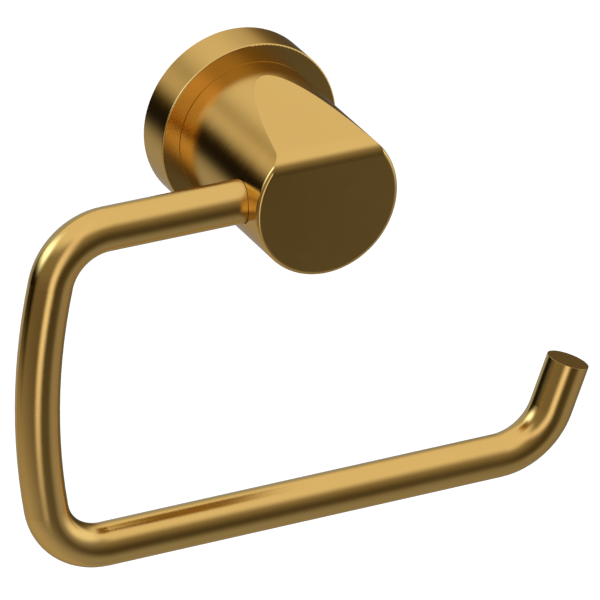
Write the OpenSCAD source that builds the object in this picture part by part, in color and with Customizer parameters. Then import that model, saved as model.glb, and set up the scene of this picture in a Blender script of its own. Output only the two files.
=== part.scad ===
// Open-ended toilet paper holder: a round wall rosette, a round post with a sloping flat on top,
// and one bent bar that leaves the post's side, drops in a shallow bow and returns under it.
//
// Frame: the wall is the plane Y = 0, the holder stands out towards -Y, +X is to the right
// and +Z is up. The origin is on the wall, on the post's axis.
// Every module is drawn in wall coordinates (x right, y up, z out of the wall) and
// stand_on_wall() turns it into that frame.

/* [Rosette] */
// Diameter of the rosette
rosette_d = 55; // [53:0.5:70]
// Thickness of the rosette, from the wall to its front face
rosette_t = 12.3; // [11.8:0.1:16]
// Thickness of the rosette's rim, around its hollow back
rosette_wall = 4; // [3.4:0.1:4.5]
// Thickness of the web that closes the rosette's front
rosette_web = 3.8; // [3.2:0.1:4.5]
// Radius on the rosette's front edge
rosette_edge_r = 0.4; // [0.2:0.1:1.5]

/* [Post] */
// Diameter of the post
post_d = 44; // [42:0.5:50]
// Distance from the wall to the post's front face
post_reach = 62.7; // [56:0.1:80]
// Depth of the sloping flat below the post's top, at the front face
flat_drop = 5.8; // [3:0.1:8]
// Slope of the flat against the post's axis, in degrees
flat_slope = 8; // [5:0.5:12]
// Radius where the flat rolls over into the front face
flat_edge_r = 5.4; // [1:0.1:6]
// Radius on the round edge of the front face
post_edge_r = 1.2; // [0.3:0.1:2.5]
// Radius on the post's back edge, where it stands on the rosette
post_root_r = 0.25; // [0.1:0.05:0.6]
// Wall left around the cored back of the post
post_wall = 4; // [3:0.1:5]
// Diameter of the post's central boss
boss_d = 26; // [24:0.5:28]
// How far the boss stands into the rosette as a spigot
spigot_h = 1.2; // [0.6:0.1:2]
// Thickness of the four ribs between boss and wall
rib_t = 3; // [2:0.1:5]
// Metal left between the cored back and the arm's socket
socket_floor = 4; // [2:0.1:8]
// Width of the shadow gap around the arm at the mouth of its socket
mouth_gap = 0.15; // [0.1:0.05:0.5]
// Depth of that gap below the lowest point of the socket's rim
mouth_depth = 0.8; // [0.4:0.1:2]

/* [Arm] */
// Diameter of the arm's round bar
bar_d = 12.7; // [10:0.1:14]
// Distance from the bar's axis back to the post's front face
arm_setback = 12.1; // [10:0.1:14]
// How far the bar passes the post's axis inside its socket
socket_past_axis = 9; // [7:0.1:12]
// Straight length from the post's axis to the first bend
top_len = 63; // [45:0.5:90]
// Centreline radius of the upper bend
upper_bend_r = 17.2; // [12:0.1:30]
// Angle turned by the upper bend, in degrees
upper_bend_angle = 77.8; // [70:0.1:85]
// Centreline radius of the bowed side
bow_r = 188; // [150:1:400]
// Angle turned by the bowed side, in degrees
bow_angle = 21.6; // [10:0.1:26]
// Centreline radius of the lower bend
lower_bend_r = 18.4; // [12:0.1:30]
// Straight length that carries the roll
roll_len = 125; // [105:1:150]
// Centreline radius of the upturned tip's bend
tip_bend_r = 18.6; // [12:0.1:30]
// Angle turned by the tip, in degrees
tip_angle = 69.7; // [30:0.1:90]
// Straight length at the tip
tip_len = 15; // [4:0.1:30]
// Radius on the edge of the square-cut tip
tip_edge_r = 0.05; // [0.05:0.05:2]
// Depth of the cone that the locking screw seats in
dimple_depth = 2; // [1:0.1:3]

/* [Wall bracket] */
// Thickness of the bracket
bracket_t = 7.2; // [6.5:0.1:7.6]
// Height above the wall at which the undercut bevel starts
bracket_foot_t = 2; // [1.5:0.1:2.5]
// Width and height of the 45 degree undercut bevel
bracket_bevel = 3; // [2:0.1:3.5]
// Distance between the two wall screws
screw_spacing = 32; // [31:0.5:33]
// Diameter of the wall screw holes
screw_hole_d = 5.2; // [4:0.1:5.6]
// Diameter of their countersinks
countersink_d = 9.6; // [8:0.1:10]
// Depth of the two cored pockets in the bracket's back
pocket_depth = 5; // [2:0.1:5.5]

/* [Fasteners] */
// Thread diameter of the post bolt and of the arm's locking screw
bolt_d = 8; // [6:0.5:8]
// Length of the post bolt under its head
bolt_len = 16; // [12:0.5:20]
// Diameter of the post bolt's button head
bolt_head_d = 14; // [11:0.5:15]
// Height of the post bolt's head
bolt_head_h = 4.4; // [3.5:0.1:5]
// Width across flats of the post bolt's hex socket
bolt_hex = 5; // [4:0.5:6]
// Outer diameter of the lock washer
washer_d = 14.8; // [14:0.1:16]
// Thickness of the lock washer
washer_t = 2; // [1:0.1:2.2]
// Width of the lock washer's split
washer_split = 1.2; // [0.6:0.1:2.5]
// Diameter of the locating pin
pin_d = 3; // [2:0.1:3.4]
// Length of the locating pin
pin_len = 7.6; // [5:0.1:12]
// Length of the arm's locking screw
lock_screw_len = 12; // [8:0.5:14]
// Width across flats of the locking screw's hex socket
lock_screw_hex = 4; // [2.5:0.5:4.5]
// Thread diameter of the rosette's set screw
set_screw_d = 4; // [3:0.5:4]
// Length of the rosette's set screw
set_screw_len = 4; // [3:0.5:4.5]
// Width across flats of the set screw's hex socket
set_screw_hex = 2; // [1.5:0.5:2]

/* [Fits] */
// Radial clearance of a bar, pin, spigot or screw in its hole
hole_gap = 0.05; // [0.02:0.01:0.2]
// Radial clearance of the bracket inside the rosette
bracket_gap = 0.2; // [0.1:0.05:0.5]
// Clearance at the end of a blind hole, or at a cone's seat
end_gap = 0.1; // [0.05:0.05:0.3]
// Radial clearance around the bolt's head and washer inside the bracket
head_gap = 2.6; // [1:0.1:3]

/* [Hidden] */
$fn = 96;
HEX = 6;
POINT_SHARE = 0.25; // flat end of a cone point, as a share of the screw's diameter
cut = 1; // how far a cutting shape runs past the surface that it cuts

gold = [0.79, 0.62, 0.33];
steel = [0.62, 0.63, 0.64];

rosette_r = rosette_d / 2;
hollow_r = rosette_r - rosette_wall;
web_back = rosette_t - rosette_web;

post_r = post_d / 2;
boss_r = boss_d / 2;
boss_back = rosette_t - spigot_h;
flat_y = post_r - flat_drop;
core_r = post_r - post_wall;

bar_r = bar_d / 2;
joint_w = 0.01;
joint_step = 0.02;
joint_lap = 0.1;
arm_z = post_reach - arm_setback;
socket_r = bar_r + hole_gap;
mouth_r = socket_r + mouth_gap;
mouth_x = sqrt(post_r * post_r - mouth_r * mouth_r) - mouth_depth;
core_top = arm_z - socket_r - socket_floor;
lower_bend_angle = 180 - upper_bend_angle - bow_angle;

bracket_r = hollow_r - bracket_gap;
bracket_foot_r = bracket_r - bracket_bevel;
bracket_bore_r = max(bolt_head_d, washer_d) / 2 + head_gap;
screw_hole_r = screw_hole_d / 2;
countersink_r = countersink_d / 2;

bolt_r = bolt_d / 2;
washer_back = web_back - washer_t;
pin_y = boss_r - pin_d;
pin_back = web_back + end_gap;
lock_tip = arm_z - bar_r + dimple_depth - end_gap;
set_screw_z = bracket_foot_t + bracket_bevel / 2;
set_screw_tip_r = bracket_r - bracket_bevel / 2 + set_screw_d * POINT_SHARE / 2 + end_gap;

// ---------------------------------------------------------------- helpers

// Turns wall coordinates (z out of the wall) into the part's frame (-Y out of the wall).
module stand_on_wall() {
    rotate([90, 0, 0]) children();
}

// What a round of radius r takes off the corner at the origin, for material in x < 0, y < 0.
module corner_off(r) {
    translate([-r, -r]) difference() {
        square(r + cut);
        circle(r);
    }
}

// Half profile of a turned rod along +y, with its far edge rounded.
module rounded_half(radius, length, edge) {
    difference() {
        square([radius, length]);
        translate([radius, length]) corner_off(edge);
    }
}

// Headless hex-socket screw along +z, its 90 degree cone point at z = length.
module cone_point_screw(radius, length, hex) {
    tip_r = radius * POINT_SHARE;
    difference() {
        union() {
            cylinder(r = radius, h = length - radius + tip_r);
            translate([0, 0, length - radius + tip_r])
                cylinder(r1 = radius, r2 = tip_r, h = radius - tip_r);
        }
        translate([0, 0, -cut]) cylinder(d = hex / cos(30), h = hex + cut, $fn = HEX);
    }
}

// ---------------------------------------------------------------- wall bracket

// Turned disc with an undercut rim, which the set screw bears on.
module bracket_blank() {
    rotate_extrude() polygon([
        [bracket_bore_r, 0],
        [bracket_foot_r, 0],
        [bracket_foot_r, bracket_foot_t],
        [bracket_r, bracket_foot_t + bracket_bevel],
        [bracket_r, bracket_t],
        [bracket_bore_r, bracket_t]
    ]);
}

module wall_screw_hole() {
    sink = countersink_r - screw_hole_r;
    translate([0, 0, -cut]) cylinder(r = screw_hole_r, h = bracket_t + 2 * cut);
    translate([0, 0, bracket_t - sink]) cylinder(r1 = screw_hole_r, r2 = countersink_r, h = sink);
    translate([0, 0, bracket_t]) cylinder(r = countersink_r, h = cut);
}

// Curved pocket cored into the back, on the side between the two screws.
module bracket_pocket() {
    pocket_angle = 90;
    rim = 2;
    inner_r = bracket_bore_r + rim;
    rotate([0, 0, -pocket_angle / 2]) rotate_extrude(angle = pocket_angle)
        translate([inner_r, -cut]) square([bracket_foot_r - rim - inner_r, pocket_depth + cut]);
}

module wall_bracket() {
    color(steel) stand_on_wall() difference() {
        bracket_blank();
        for (side = [-1, 1]) {
            translate([0, side * screw_spacing / 2, 0]) wall_screw_hole();
            rotate([0, 0, 90 * (1 - side)]) bracket_pocket();
        }
    }
}

// ---------------------------------------------------------------- rosette

module rosette() {
    color(gold) stand_on_wall() difference() {
        rotate_extrude() rounded_half(rosette_r, rosette_t, rosette_edge_r);
        // Hollow back for the bracket
        translate([0, 0, -cut]) cylinder(r = hollow_r, h = web_back + cut);
        // Seat for the post's spigot
        translate([0, 0, boss_back - end_gap])
            cylinder(r = boss_r + hole_gap, h = spigot_h + end_gap + cut);
        // Bolt and locating pin
        cylinder(r = bolt_r + hole_gap, h = rosette_t);
        translate([0, pin_y, 0]) cylinder(r = pin_d / 2 + hole_gap, h = rosette_t);
        // Set screw, up through the bottom of the rim
        translate([0, 0, set_screw_z]) rotate([90, 0, 0])
            cylinder(r = set_screw_d / 2 + hole_gap, h = rosette_r + cut);
    }
}

module rosette_set_screw() {
    color(steel) stand_on_wall()
        translate([0, -set_screw_tip_r - set_screw_len, set_screw_z]) rotate([-90, 0, 0])
            cone_point_screw(set_screw_d / 2, set_screw_len, set_screw_hex);
}

// ---------------------------------------------------------------- post

// Side view of what the sloping flat takes off the post, with the round that leads it into the
// front face; u is up and v is out of the wall. Both surfaces can be sunk by inset.
module flat_profile(inset, edge_r) {
    front = post_reach - inset;
    top = flat_y - inset / cos(flat_slope) + inset * tan(flat_slope);
    centre_u = top - edge_r * (1 - sin(flat_slope)) / cos(flat_slope);
    centre_v = front - edge_r;
    difference() {
        polygon([
            [top + front * tan(flat_slope), 0],
            [centre_u + edge_r * cos(flat_slope), centre_v + edge_r * sin(flat_slope)],
            [centre_u, centre_v],
            [centre_u, front + cut],
            [post_d, front + cut],
            [post_d, 0]
        ]);
        translate([centre_u, centre_v]) circle(edge_r);
    }
}

// The same, right across the post.
module flat_cutter(inset, edge_r) {
    translate([-post_d, 0, 0]) rotate([90, 0, 90])
        linear_extrude(height = 2 * post_d) flat_profile(inset, edge_r);
}

// Turned blank of the post: the round body and the spigot behind it.
module post_blank() {
    translate([0, 0, rosette_t]) rotate_extrude() difference() {
        rounded_half(post_r, post_reach - rosette_t, post_edge_r);
        translate([post_r, 0]) mirror([0, 1]) corner_off(post_root_r);
    }
    translate([0, 0, boss_back]) cylinder(r = boss_r, h = rosette_t - boss_back + cut);
}

// Four pockets cored into the back, between the boss, the ribs and the wall. They follow the
// sloping flat at the thickness of the wall.
module post_core() {
    difference() {
        translate([0, 0, boss_back - cut]) cylinder(r = core_r, h = core_top - boss_back + cut);
        cylinder(r = boss_r, h = post_reach);
        for (turn = [45, 135]) rotate([0, 0, turn])
            translate([-post_r, -rib_t / 2, 0]) cube([post_d, rib_t, post_reach]);
        flat_cutter(post_wall, post_edge_r);
    }
}

module post() {
    pin_hole_end = pin_back + pin_len + end_gap;
    color(gold) stand_on_wall() difference() {
        post_blank();
        flat_cutter(0, flat_edge_r);
        post_core();
        // Tapped hole from the back through to the arm's socket
        translate([0, 0, boss_back - cut])
            cylinder(r = bolt_r + hole_gap, h = arm_z - boss_back + cut);
        translate([0, pin_y, boss_back - cut])
            cylinder(r = pin_d / 2 + hole_gap, h = pin_hole_end - boss_back + cut);
        // Arm's socket, in from the left and blind on the right
        translate([socket_past_axis + end_gap, 0, arm_z]) rotate([0, -90, 0])
            cylinder(r = socket_r, h = socket_past_axis + end_gap + post_r + cut);
        // Shadow gap at the socket's mouth
        translate([-mouth_x, 0, arm_z]) rotate([0, -90, 0])
            cylinder(r = mouth_r, h = post_r - mouth_x + cut);
    }
}

module post_locating_pin() {
    chamfer = 0.3;
    color(steel) stand_on_wall() translate([0, pin_y, pin_back]) rotate_extrude() polygon([
        [0, 0],
        [pin_d / 2 - chamfer, 0],
        [pin_d / 2, chamfer],
        [pin_d / 2, pin_len - chamfer],
        [pin_d / 2 - chamfer, pin_len],
        [0, pin_len]
    ]);
}

// Split lock washer, with its slanting split at the side.
module post_lock_washer() {
    split_lean = 20;
    color(steel) stand_on_wall() translate([0, 0, washer_back]) difference() {
        cylinder(d = washer_d, h = washer_t);
        translate([0, 0, -cut]) cylinder(r = bolt_r + hole_gap, h = washer_t + 2 * cut);
        translate([washer_d / 2, 0, washer_t / 2]) rotate([split_lean, 0, 0])
            cube([washer_d, washer_split, 3 * washer_t], center = true);
    }
}

// Button-head bolt with a hex socket, driven from the wall side.
module post_bolt() {
    head_r = bolt_head_d / 2;
    rim_h = bolt_head_h / 5;
    dome_h = bolt_head_h - rim_h;
    dome_r = (head_r * head_r + dome_h * dome_h) / (2 * dome_h);
    end_chamfer = bolt_d / 10;
    hex_depth = 0.6 * bolt_head_h;
    color(steel) stand_on_wall() translate([0, 0, washer_back]) difference() {
        union() {
            mirror([0, 0, 1]) rotate_extrude() intersection() {
                translate([0, bolt_head_h - dome_r]) circle(dome_r);
                square([head_r, bolt_head_h]);
            }
            cylinder(r = bolt_r, h = bolt_len - end_chamfer);
            translate([0, 0, bolt_len - end_chamfer])
                cylinder(r1 = bolt_r, r2 = bolt_r - end_chamfer, h = end_chamfer);
        }
        translate([0, 0, -bolt_head_h - cut])
            cylinder(d = bolt_hex / cos(30), h = hex_depth + cut, $fn = HEX);
    }
}

// ---------------------------------------------------------------- arm

// The bar is laid down piece by piece: each piece starts at the origin, heading along +x,
// and carries its children on to its own end. Neighbours stop a hair apart and a slightly
// thinner core joins them, so no two round surfaces have to meet exactly on one circle.
module bar_joint() {
    rotate([0, 90, 0]) translate([0, 0, -joint_lap])
        cylinder(r = bar_r - joint_step, h = joint_w + 2 * joint_lap);
    translate([joint_w, 0, 0]) children();
}

module bar_straight(length) {
    rotate([0, 90, 0]) cylinder(r = bar_r, h = length);
    translate([length, 0, 0]) bar_joint() children();
}

module bar_bend(radius, angle) {
    translate([0, radius, 0]) {
        rotate([0, 0, -90]) rotate_extrude(angle = angle) translate([radius, 0]) circle(bar_r);
        rotate([0, 0, angle]) translate([0, -radius, 0]) bar_joint() children();
    }
}

module bar_tip(length) {
    rotate([0, 90, 0]) rotate_extrude() rounded_half(bar_r, length, tip_edge_r);
}

module arm() {
    color(gold) stand_on_wall() difference() {
        translate([socket_past_axis, 0, arm_z]) rotate([0, 0, 180])
            bar_straight(socket_past_axis + top_len)
            bar_bend(upper_bend_r, upper_bend_angle)
            bar_bend(bow_r, bow_angle)
            bar_bend(lower_bend_r, lower_bend_angle)
            bar_straight(roll_len)
            bar_bend(tip_bend_r, tip_angle)
            bar_tip(tip_len);
        // 90 degree seat for the locking screw, on the side towards the wall
        translate([0, 0, arm_z - bar_r - cut])
            cylinder(r1 = dimple_depth + cut, r2 = 0, h = dimple_depth + cut);
    }
}

module arm_locking_screw() {
    tip_r = bolt_r * POINT_SHARE;
    color(steel) stand_on_wall() translate([0, 0, lock_tip - tip_r - lock_screw_len])
        cone_point_screw(bolt_r, lock_screw_len, lock_screw_hex);
}

wall_bracket();
rosette();
rosette_set_screw();
post();
post_locating_pin();
post_lock_washer();
post_bolt();
arm();
arm_locking_screw();
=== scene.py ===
"""Looks, studio light and camera for the toilet paper holder.

Metres, +Z up, the wall in the plane Y = 0 and the holder on the -Y side of it.
"""

import math

import bpy
from mathutils import Matrix, Vector

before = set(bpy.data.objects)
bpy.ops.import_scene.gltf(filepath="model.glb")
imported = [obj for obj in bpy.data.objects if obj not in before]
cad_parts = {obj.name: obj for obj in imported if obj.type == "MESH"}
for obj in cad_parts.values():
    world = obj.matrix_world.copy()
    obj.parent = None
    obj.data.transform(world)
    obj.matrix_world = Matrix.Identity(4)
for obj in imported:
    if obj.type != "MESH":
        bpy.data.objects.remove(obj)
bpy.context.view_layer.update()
scene = bpy.context.scene

HOLDER_MIDDLE = Vector((0.0, -0.05, -0.04))
FLOOR_Z = -0.66  # a holder hangs about 0.66 m above the floor
FLOOR_WIDTH = 60.0
TENT_RADIUS = 3.0
TENT_CLEARANCE = 0.02  # between the tent's flat bottom and the floor

# gold plating: two tones that clouds mix, and the colour of its grazing reflections
GOLD_DEEP = (0.690, 0.440, 0.135, 1.0)
GOLD_PALE = (0.706, 0.454, 0.142, 1.0)
GOLD_EDGE = (0.703, 0.636, 0.549, 1.0)
SATIN = 0.25  # roughness of the buffed gold
GRAIN_ROUGHNESS = 0.018  # how much the grain adds to it or takes off
CLOUD_ROUGHNESS = 0.012  # and how much the clouds do
TOUCH_ROUGHNESS = 0.020  # added where fingers have dulled it
GOLD_RELIEF = 0.00004  # bump distances of the two grains
STEEL_RELIEF = 0.00005

# how fine a grain is along x, y and z, per metre, and where noise lies for the most part
TURNED_GRAIN = (5200.0, 5200.0, 0.0)  # outwards from the post's axis and along it
DRAWN_GRAIN = (700.0, 4200.0, 700.0)
ROLLED_GRAIN = (300.0, 2400.0, 2400.0)
NOISE_LOW = 0.3
NOISE_HIGH = 0.7

# light
AMBIENT = 0.5  # strength of the world as it falls on things
FLOOR_WHITE = 0.82
FLOOR_GLOW = 0.45  # added to the floor as it is seen, so that it shows white
LAMP_PLACE = (0.0, -0.3, 2.3)
LAMP_SIZE = 2.0
LAMP_WATTS = 42.0


# ---------------------------------------------------------------- node helpers


class Net:
    """Builds a shader tree: most methods add a node or two and return the output."""

    def __init__(self, tree):
        self.tree = tree
        tree.nodes.clear()

    def node(self, kind, values=(), **props):
        n = self.tree.nodes.new(kind)
        for key, value in props.items():
            setattr(n, key, value)
        for key, value in dict(values).items():
            self.feed(n.inputs[key], value)
        return n

    def feed(self, socket, value):
        if isinstance(value, bpy.types.NodeSocket):
            self.tree.links.new(value, socket)
        elif value is not None:
            socket.default_value = value

    def math(self, operation, a, b=None, c=None):
        n = self.node("ShaderNodeMath", operation=operation)
        for socket, value in zip(n.inputs, (a, b, c)):
            self.feed(socket, value)
        return n.outputs[0]

    def span(self, value, lo, hi, to_lo=0.0, to_hi=1.0, smooth=False):
        n = self.node(
            "ShaderNodeMapRange",
            {"Value": value, "From Min": lo, "From Max": hi, "To Min": to_lo, "To Max": to_hi},
            interpolation_type="SMOOTHSTEP" if smooth else "LINEAR",
        )
        return n.outputs["Result"]

    def mix(self, factor, a, b):
        n = self.node("ShaderNodeMix", data_type="RGBA")
        self.feed(n.inputs[0], factor)
        self.feed(n.inputs[6], a)
        self.feed(n.inputs[7], b)
        return n.outputs[2]

    def noise(self, vector, scale, detail, rough):
        n = self.node(
            "ShaderNodeTexNoise",
            {"Vector": vector, "Scale": scale, "Detail": detail, "Roughness": rough},
        )
        return n.outputs["Fac"]

    def noise_span(self, noise, to_lo=0.0, to_hi=1.0):
        return self.span(noise, NOISE_LOW, NOISE_HIGH, to_lo, to_hi)

    def stretch(self, vector, factors):
        n = self.node("ShaderNodeVectorMath", {0: vector, 1: factors}, operation="MULTIPLY")
        return n.outputs[0]

    def split(self, vector):
        return self.node("ShaderNodeSeparateXYZ", {0: vector}).outputs

    def join(self, x, y, z):
        return self.node("ShaderNodeCombineXYZ", {0: x, 1: y, 2: z}).outputs[0]

    def surface(self, shader):
        self.node("ShaderNodeOutputMaterial", {0: shader.outputs[0]})


def shader_tree(name, net_class=Net):
    material = bpy.data.materials.new(name)
    material.use_nodes = True
    return material, net_class(material.node_tree)


def grey(level, tint=(1.0, 1.0, 1.0)):
    return tuple(level * t for t in tint) + (1.0,)


# ---------------------------------------------------------------- materials


def object_coordinates(net):
    return net.node("ShaderNodeTexCoord").outputs["Object"]


def turned_coordinates(net):
    """Distance from the post's axis and along it: grain from these runs in rings."""
    x, y, z = net.split(object_coordinates(net))
    radius = net.math("SQRT", net.math("ADD", net.math("MULTIPLY", x, x), net.math("MULTIPLY", z, z)))
    return net.join(radius, y, 0.0)


def satin_gold(name, grain_coordinates, grain_scale):
    """Gold plating with an even satin: a fine grain, faint clouds and a few dull touches."""
    material, net = shader_tree(name)
    place = object_coordinates(net)
    grain_place = net.stretch(grain_coordinates(net), grain_scale)
    grain = net.noise(grain_place, scale=1.0, detail=3.0, rough=0.6)
    cloud = net.noise(place, scale=38.0, detail=3.0, rough=0.55)
    touch = net.noise(place, scale=120.0, detail=4.0, rough=0.65)
    speck = net.noise(place, scale=2600.0, detail=1.0, rough=0.5)

    colour = net.mix(net.noise_span(cloud), GOLD_DEEP, GOLD_PALE)
    rough = net.noise_span(grain, SATIN - GRAIN_ROUGHNESS, SATIN + GRAIN_ROUGHNESS)
    rough = net.math("ADD", rough, net.noise_span(cloud, -CLOUD_ROUGHNESS, CLOUD_ROUGHNESS))
    rough = net.math("ADD", rough, net.span(touch, 0.52, 0.70, 0.0, TOUCH_ROUGHNESS))
    height = net.math("ADD", net.math("MULTIPLY", grain, 0.7), net.math("MULTIPLY", speck, 0.3))
    bump = net.node("ShaderNodeBump", {"Strength": 0.05, "Distance": GOLD_RELIEF, "Height": height})

    net.surface(
        net.node(
            "ShaderNodeBsdfMetallic",
            {
                "Base Color": colour,
                "Edge Tint": GOLD_EDGE,
                "Roughness": rough,
                "Normal": bump.outputs[0],
            },
            distribution="BECKMANN",
            fresnel_type="F82",
        )
    )
    return material


def plated_steel(name, base, roughness):
    """Zinc-plated steel of the bracket and screws, with a rolled grain and dull patches."""
    material, net = shader_tree(name)
    place = object_coordinates(net)
    grain = net.noise(net.stretch(place, ROLLED_GRAIN), scale=1.0, detail=3.0, rough=0.6)
    patch = net.noise(place, scale=90.0, detail=4.0, rough=0.6)

    colour = net.mix(net.span(patch, 0.35, 0.65), grey(0.92, base), grey(1.0, base))
    rough = net.noise_span(grain, -0.04, 0.04)
    rough = net.math("ADD", rough, net.noise_span(patch, -0.05, 0.06))
    rough = net.math("ADD", rough, roughness)
    bump = net.node("ShaderNodeBump", {"Strength": 0.12, "Distance": STEEL_RELIEF, "Height": grain})

    net.surface(
        net.node(
            "ShaderNodeBsdfPrincipled",
            {"Base Color": colour, "Metallic": 1.0, "Roughness": rough, "Normal": bump.outputs[0]},
        )
    )
    return material


def wear(piece_names, material):
    for name in piece_names:
        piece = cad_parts[name]
        piece.data.materials.clear()
        piece.data.materials.append(material)


turned_gold = satin_gold("gold_turned", turned_coordinates, TURNED_GRAIN)
drawn_gold = satin_gold("gold_drawn", object_coordinates, DRAWN_GRAIN)
bracket_metal = plated_steel("steel_bracket", base=(0.61, 0.595, 0.56), roughness=0.38)
screw_metal = plated_steel("steel_screw", base=(0.51, 0.50, 0.47), roughness=0.32)

wear(("rosette", "post"), turned_gold)
wear(("arm",), drawn_gold)
wear(("wall_bracket",), bracket_metal)
wear(("rosette_set_screw", "post_locating_pin", "post_lock_washer"), screw_metal)
wear(("post_bolt", "arm_locking_screw"), screw_metal)


# ---------------------------------------------------------------- studio


def seen_by(net):
    """1 for what is seen straight, in metal or through glass, 0 for the light that falls on things."""
    path = net.node("ShaderNodeLightPath").outputs
    seen = net.math("MAXIMUM", path["Is Camera Ray"], path["Is Glossy Ray"])
    return net.math("MAXIMUM", seen, path["Is Transmission Ray"])


def white_world():
    world = bpy.data.worlds.new("white")
    scene.world = world
    world.use_nodes = True
    net = Net(world.node_tree)
    level = net.span(seen_by(net), 0.0, 1.0, AMBIENT, 1.0)
    background = net.node("ShaderNodeBackground", {"Color": grey(1.0), "Strength": level})
    net.node("ShaderNodeOutputWorld", {0: background.outputs[0]})
    world.cycles.sampling_method = "NONE"


def pale_floor():
    """A matt floor that is clear from below, so that views from under it aren't blocked."""
    bpy.ops.mesh.primitive_plane_add(size=FLOOR_WIDTH, location=(0.0, 0.0, FLOOR_Z))
    floor = bpy.context.object
    floor.name = "floor"
    material, net = shader_tree("pale_floor")
    matt = net.node("ShaderNodeBsdfDiffuse", {"Color": grey(FLOOR_WHITE)})
    level = net.math("MULTIPLY", seen_by(net), FLOOR_GLOW)
    glow = net.node("ShaderNodeEmission", {"Color": grey(1.0), "Strength": level})
    both = net.node("ShaderNodeAddShader", {0: matt.outputs[0], 1: glow.outputs[0]})
    below = net.node("ShaderNodeNewGeometry").outputs["Backfacing"]
    clear = net.node("ShaderNodeBsdfTransparent")
    net.surface(net.node("ShaderNodeMixShader", {0: below, 1: both.outputs[0], 2: clear.outputs[0]}))
    floor.data.materials.append(material)


def soft_lamp(name, place, size, watts):
    data = bpy.data.lights.new(name, "AREA")
    data.shape = "SQUARE"
    data.size = size
    data.energy = watts
    lamp = bpy.data.objects.new(name, data)
    scene.collection.objects.link(lamp)
    lamp.location = place
    lamp.rotation_euler = (HOLDER_MIDDLE - Vector(place)).to_track_quat("-Z", "Y").to_euler()
    lamp.visible_glossy = False  # in metal the tent's ceiling stands for the lamp


class TentShade(Net):
    """The tent's shader, painted one layer over the other. A place on the tent is given in degrees:
    its turn, from straight out of the wall and positive towards +X, and its rise above level."""

    def __init__(self, tree):
        super().__init__(tree)
        n = self.node("ShaderNodeVectorMath", {0: object_coordinates(self)}, operation="NORMALIZE")
        x, y, z = self.split(n.outputs[0])
        self.turn = self.math("DEGREES", self.math("ARCTAN2", x, self.math("MULTIPLY", y, -1.0)))
        self.rise = self.math("DEGREES", self.math("ARCSINE", z))
        self.shade = None

    def turn_from(self, middle):
        return self.math("WRAP", self.math("SUBTRACT", self.turn, middle), 180.0, -180.0)

    def swing(self, towards):
        """1 at that turn, falling to -1 on the far side."""
        return self.math("COSINE", self.math("RADIANS", self.math("SUBTRACT", self.turn, towards)))

    def hung(self, lift, towards):
        """The rise, raised by lift at the turn towards and lowered by it on the far side."""
        return self.math("ADD", self.rise, self.math("MULTIPLY", self.swing(towards), lift))

    def within(self, distance, half, soft):
        """1 up to half away and 0 beyond, over an edge as wide as soft."""
        away = self.math("ABSOLUTE", distance)
        return self.span(away, half + soft / 2, half - soft / 2, smooth=True)

    def fade(self, bottom, top, below, above):
        """The colour below as far up as bottom, above from top on, and a mix between them."""
        climb = self.span(self.rise, bottom, top, smooth=True)
        return self.mix(climb, below + (1.0,), above + (1.0,))

    def paint(self, cover, colour):
        self.shade = self.mix(cover, self.shade, colour)

    def wall(self, colour, middle, half, soft):
        self.paint(self.within(self.turn_from(middle), half, soft), colour)

    def panel(self, colour, middle, half, side_soft, bottom, top, end_soft, lean=0.0):
        """A soft-edged panel, half a width to each side of its middle, that leans sideways."""
        c = math.cos(math.radians(lean))
        s = math.sin(math.radians(lean))
        along = self.turn_from(middle)
        over = self.math("SUBTRACT", self.rise, (bottom + top) / 2)
        across = self.math("ADD", self.math("MULTIPLY", along, c), self.math("MULTIPLY", over, s))
        up = self.math("SUBTRACT", self.math("MULTIPLY", over, c), self.math("MULTIPLY", along, s))
        sides = self.within(across, half, side_soft)
        ends = self.within(up, (top - bottom) / 2, end_soft)
        self.paint(self.math("MULTIPLY", sides, ends), colour)


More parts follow.
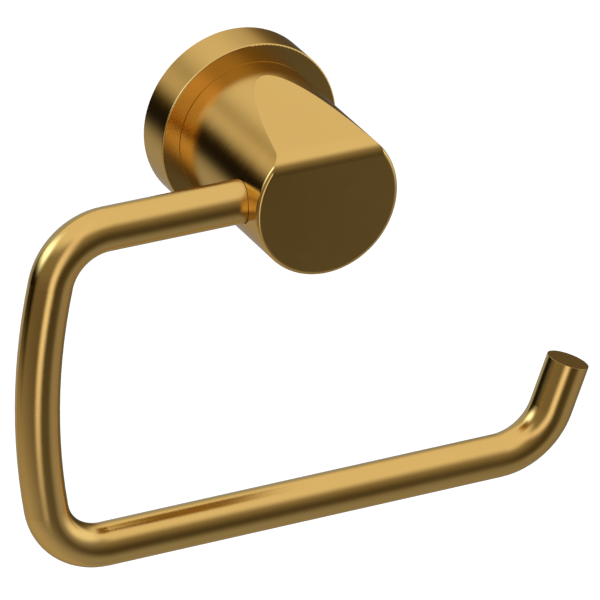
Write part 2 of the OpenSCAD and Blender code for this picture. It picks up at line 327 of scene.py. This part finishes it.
def paint_tent(net):
    """What the metal reflects. Its values were first fitted to the reflections in the photograph and
    then rounded."""
    # walls: all round, then the right, the back left and straight behind
    round_wall = net.fade(-50, 22, below=(0.04, 0.01, 0.0), above=(0.30, 0.28, 0.22))
    right_wall = net.fade(-17, 64, below=(0.08, 0.07, 0.045), above=(0.56, 0.50, 0.40))
    left_wall = net.fade(4, 23, below=(0.13, 0.09, 0.02), above=(0.69, 0.52, 0.23))
    back_wall = net.fade(19, 27, below=(0.54, 0.65, 0.89), above=(0.13, 0.12, 0.0))
    net.shade = round_wall
    net.wall(right_wall, middle=69, half=76, soft=23)
    net.wall(left_wall, middle=-157, half=56, soft=19)
    net.wall(back_wall, middle=180, half=28, soft=11)

    # grey cloth above the floor, paler at the back left, with a hem that is lower in front
    paler = net.span(net.swing(-125), -1.0, 1.0)
    cloth = net.mix(paler, (0.36, 0.37, 0.39, 1.0), (0.57, 0.55, 0.51, 1.0))
    hem = net.hung(lift=10, towards=24)
    net.paint(net.span(hem, -9, -55, smooth=True), cloth)

    # white ceiling, higher at the front left
    brim = net.hung(lift=-9, towards=-47)
    net.paint(net.span(brim, 21, 45, smooth=True), grey(1.0))

    # tall panel in front, left of the middle: it crosses the ceiling and is brighter low down
    tall = net.fade(-30, 40, below=(1.32, 1.32, 1.41), above=(1.12, 1.04, 1.12))
    net.panel(tall, middle=-26, half=11, side_soft=14, bottom=-31, top=120, end_soft=26)

    # wide panel on the right, in a grey surround
    surround = grey(0.37, (1.0, 0.97, 1.0))
    wide = (1.17, 1.24, 1.37, 1.0)
    net.panel(surround, middle=68, half=32, side_soft=26, bottom=-48, top=41, end_soft=12)
    net.panel(wide, middle=77, half=25, side_soft=23, bottom=-16, top=43, end_soft=26, lean=8)

    # black card at the back left, and the key panel above it
    card = (0.014, 0.012, 0.010, 1.0)
    key = (2.20, 3.05, 4.25, 1.0)
    net.panel(card, middle=-131, half=25, side_soft=8, bottom=-18, top=5, end_soft=11, lean=-8)
    net.panel(key, middle=-122, half=15, side_soft=24, bottom=14, top=40, end_soft=21, lean=-13)


def light_tent():
    """The inside of a studio tent, which shows only in reflections."""
    bpy.ops.mesh.primitive_uv_sphere_add(
        segments=96, ring_count=48, radius=TENT_RADIUS, location=HOLDER_MIDDLE
    )
    tent = bpy.context.object
    tent.name = "light_tent"
    lowest = FLOOR_Z + TENT_CLEARANCE - HOLDER_MIDDLE.z
    for v in tent.data.vertices:
        v.co.z = max(v.co.z, lowest)

    material, net = shader_tree("light_tent", TentShade)
    paint_tent(net)
    net.surface(net.node("ShaderNodeEmission", {"Color": net.shade, "Strength": 1.0}))
    tent.data.materials.append(material)
    tent.visible_camera = False
    tent.visible_diffuse = False
    tent.visible_transmission = False
    tent.visible_volume_scatter = False
    tent.visible_shadow = False


white_world()
pale_floor()
soft_lamp("lamp_over", LAMP_PLACE, LAMP_SIZE, LAMP_WATTS)
light_tent()


# ---------------------------------------------------------------- camera

AZIMUTH = math.radians(-26.47)
ELEVATION = math.radians(26.89)
ROLL = math.radians(0.63)
TARGET = Vector((-0.00576, -0.05725, -0.03138))
DISTANCE = 2.269
SENSOR_WIDTH = 36.0
LENS = 483.5  # millimetres, as the sensor's width is

back = Vector(
    (
        math.sin(AZIMUTH) * math.cos(ELEVATION),
        -math.cos(AZIMUTH) * math.cos(ELEVATION),
        math.sin(ELEVATION),
    )
)
level_right = Vector((math.cos(AZIMUTH), math.sin(AZIMUTH), 0.0))
level_up = back.cross(level_right)
right = level_right * math.cos(ROLL) + level_up * math.sin(ROLL)
up = level_up * math.cos(ROLL) - level_right * math.sin(ROLL)

camera_data = bpy.data.cameras.new("camera")
camera_data.sensor_width = SENSOR_WIDTH
camera_data.lens = LENS
camera_data.clip_start = 0.1
camera_data.clip_end = 100.0
camera = bpy.data.objects.new("camera", camera_data)
scene.collection.objects.link(camera)
facing = Matrix((right, up, back)).transposed().to_4x4()
camera.matrix_world = Matrix.Translation(TARGET + back * DISTANCE) @ facing
scene.camera = camera
scene.view_settings.view_transform = "Standard"
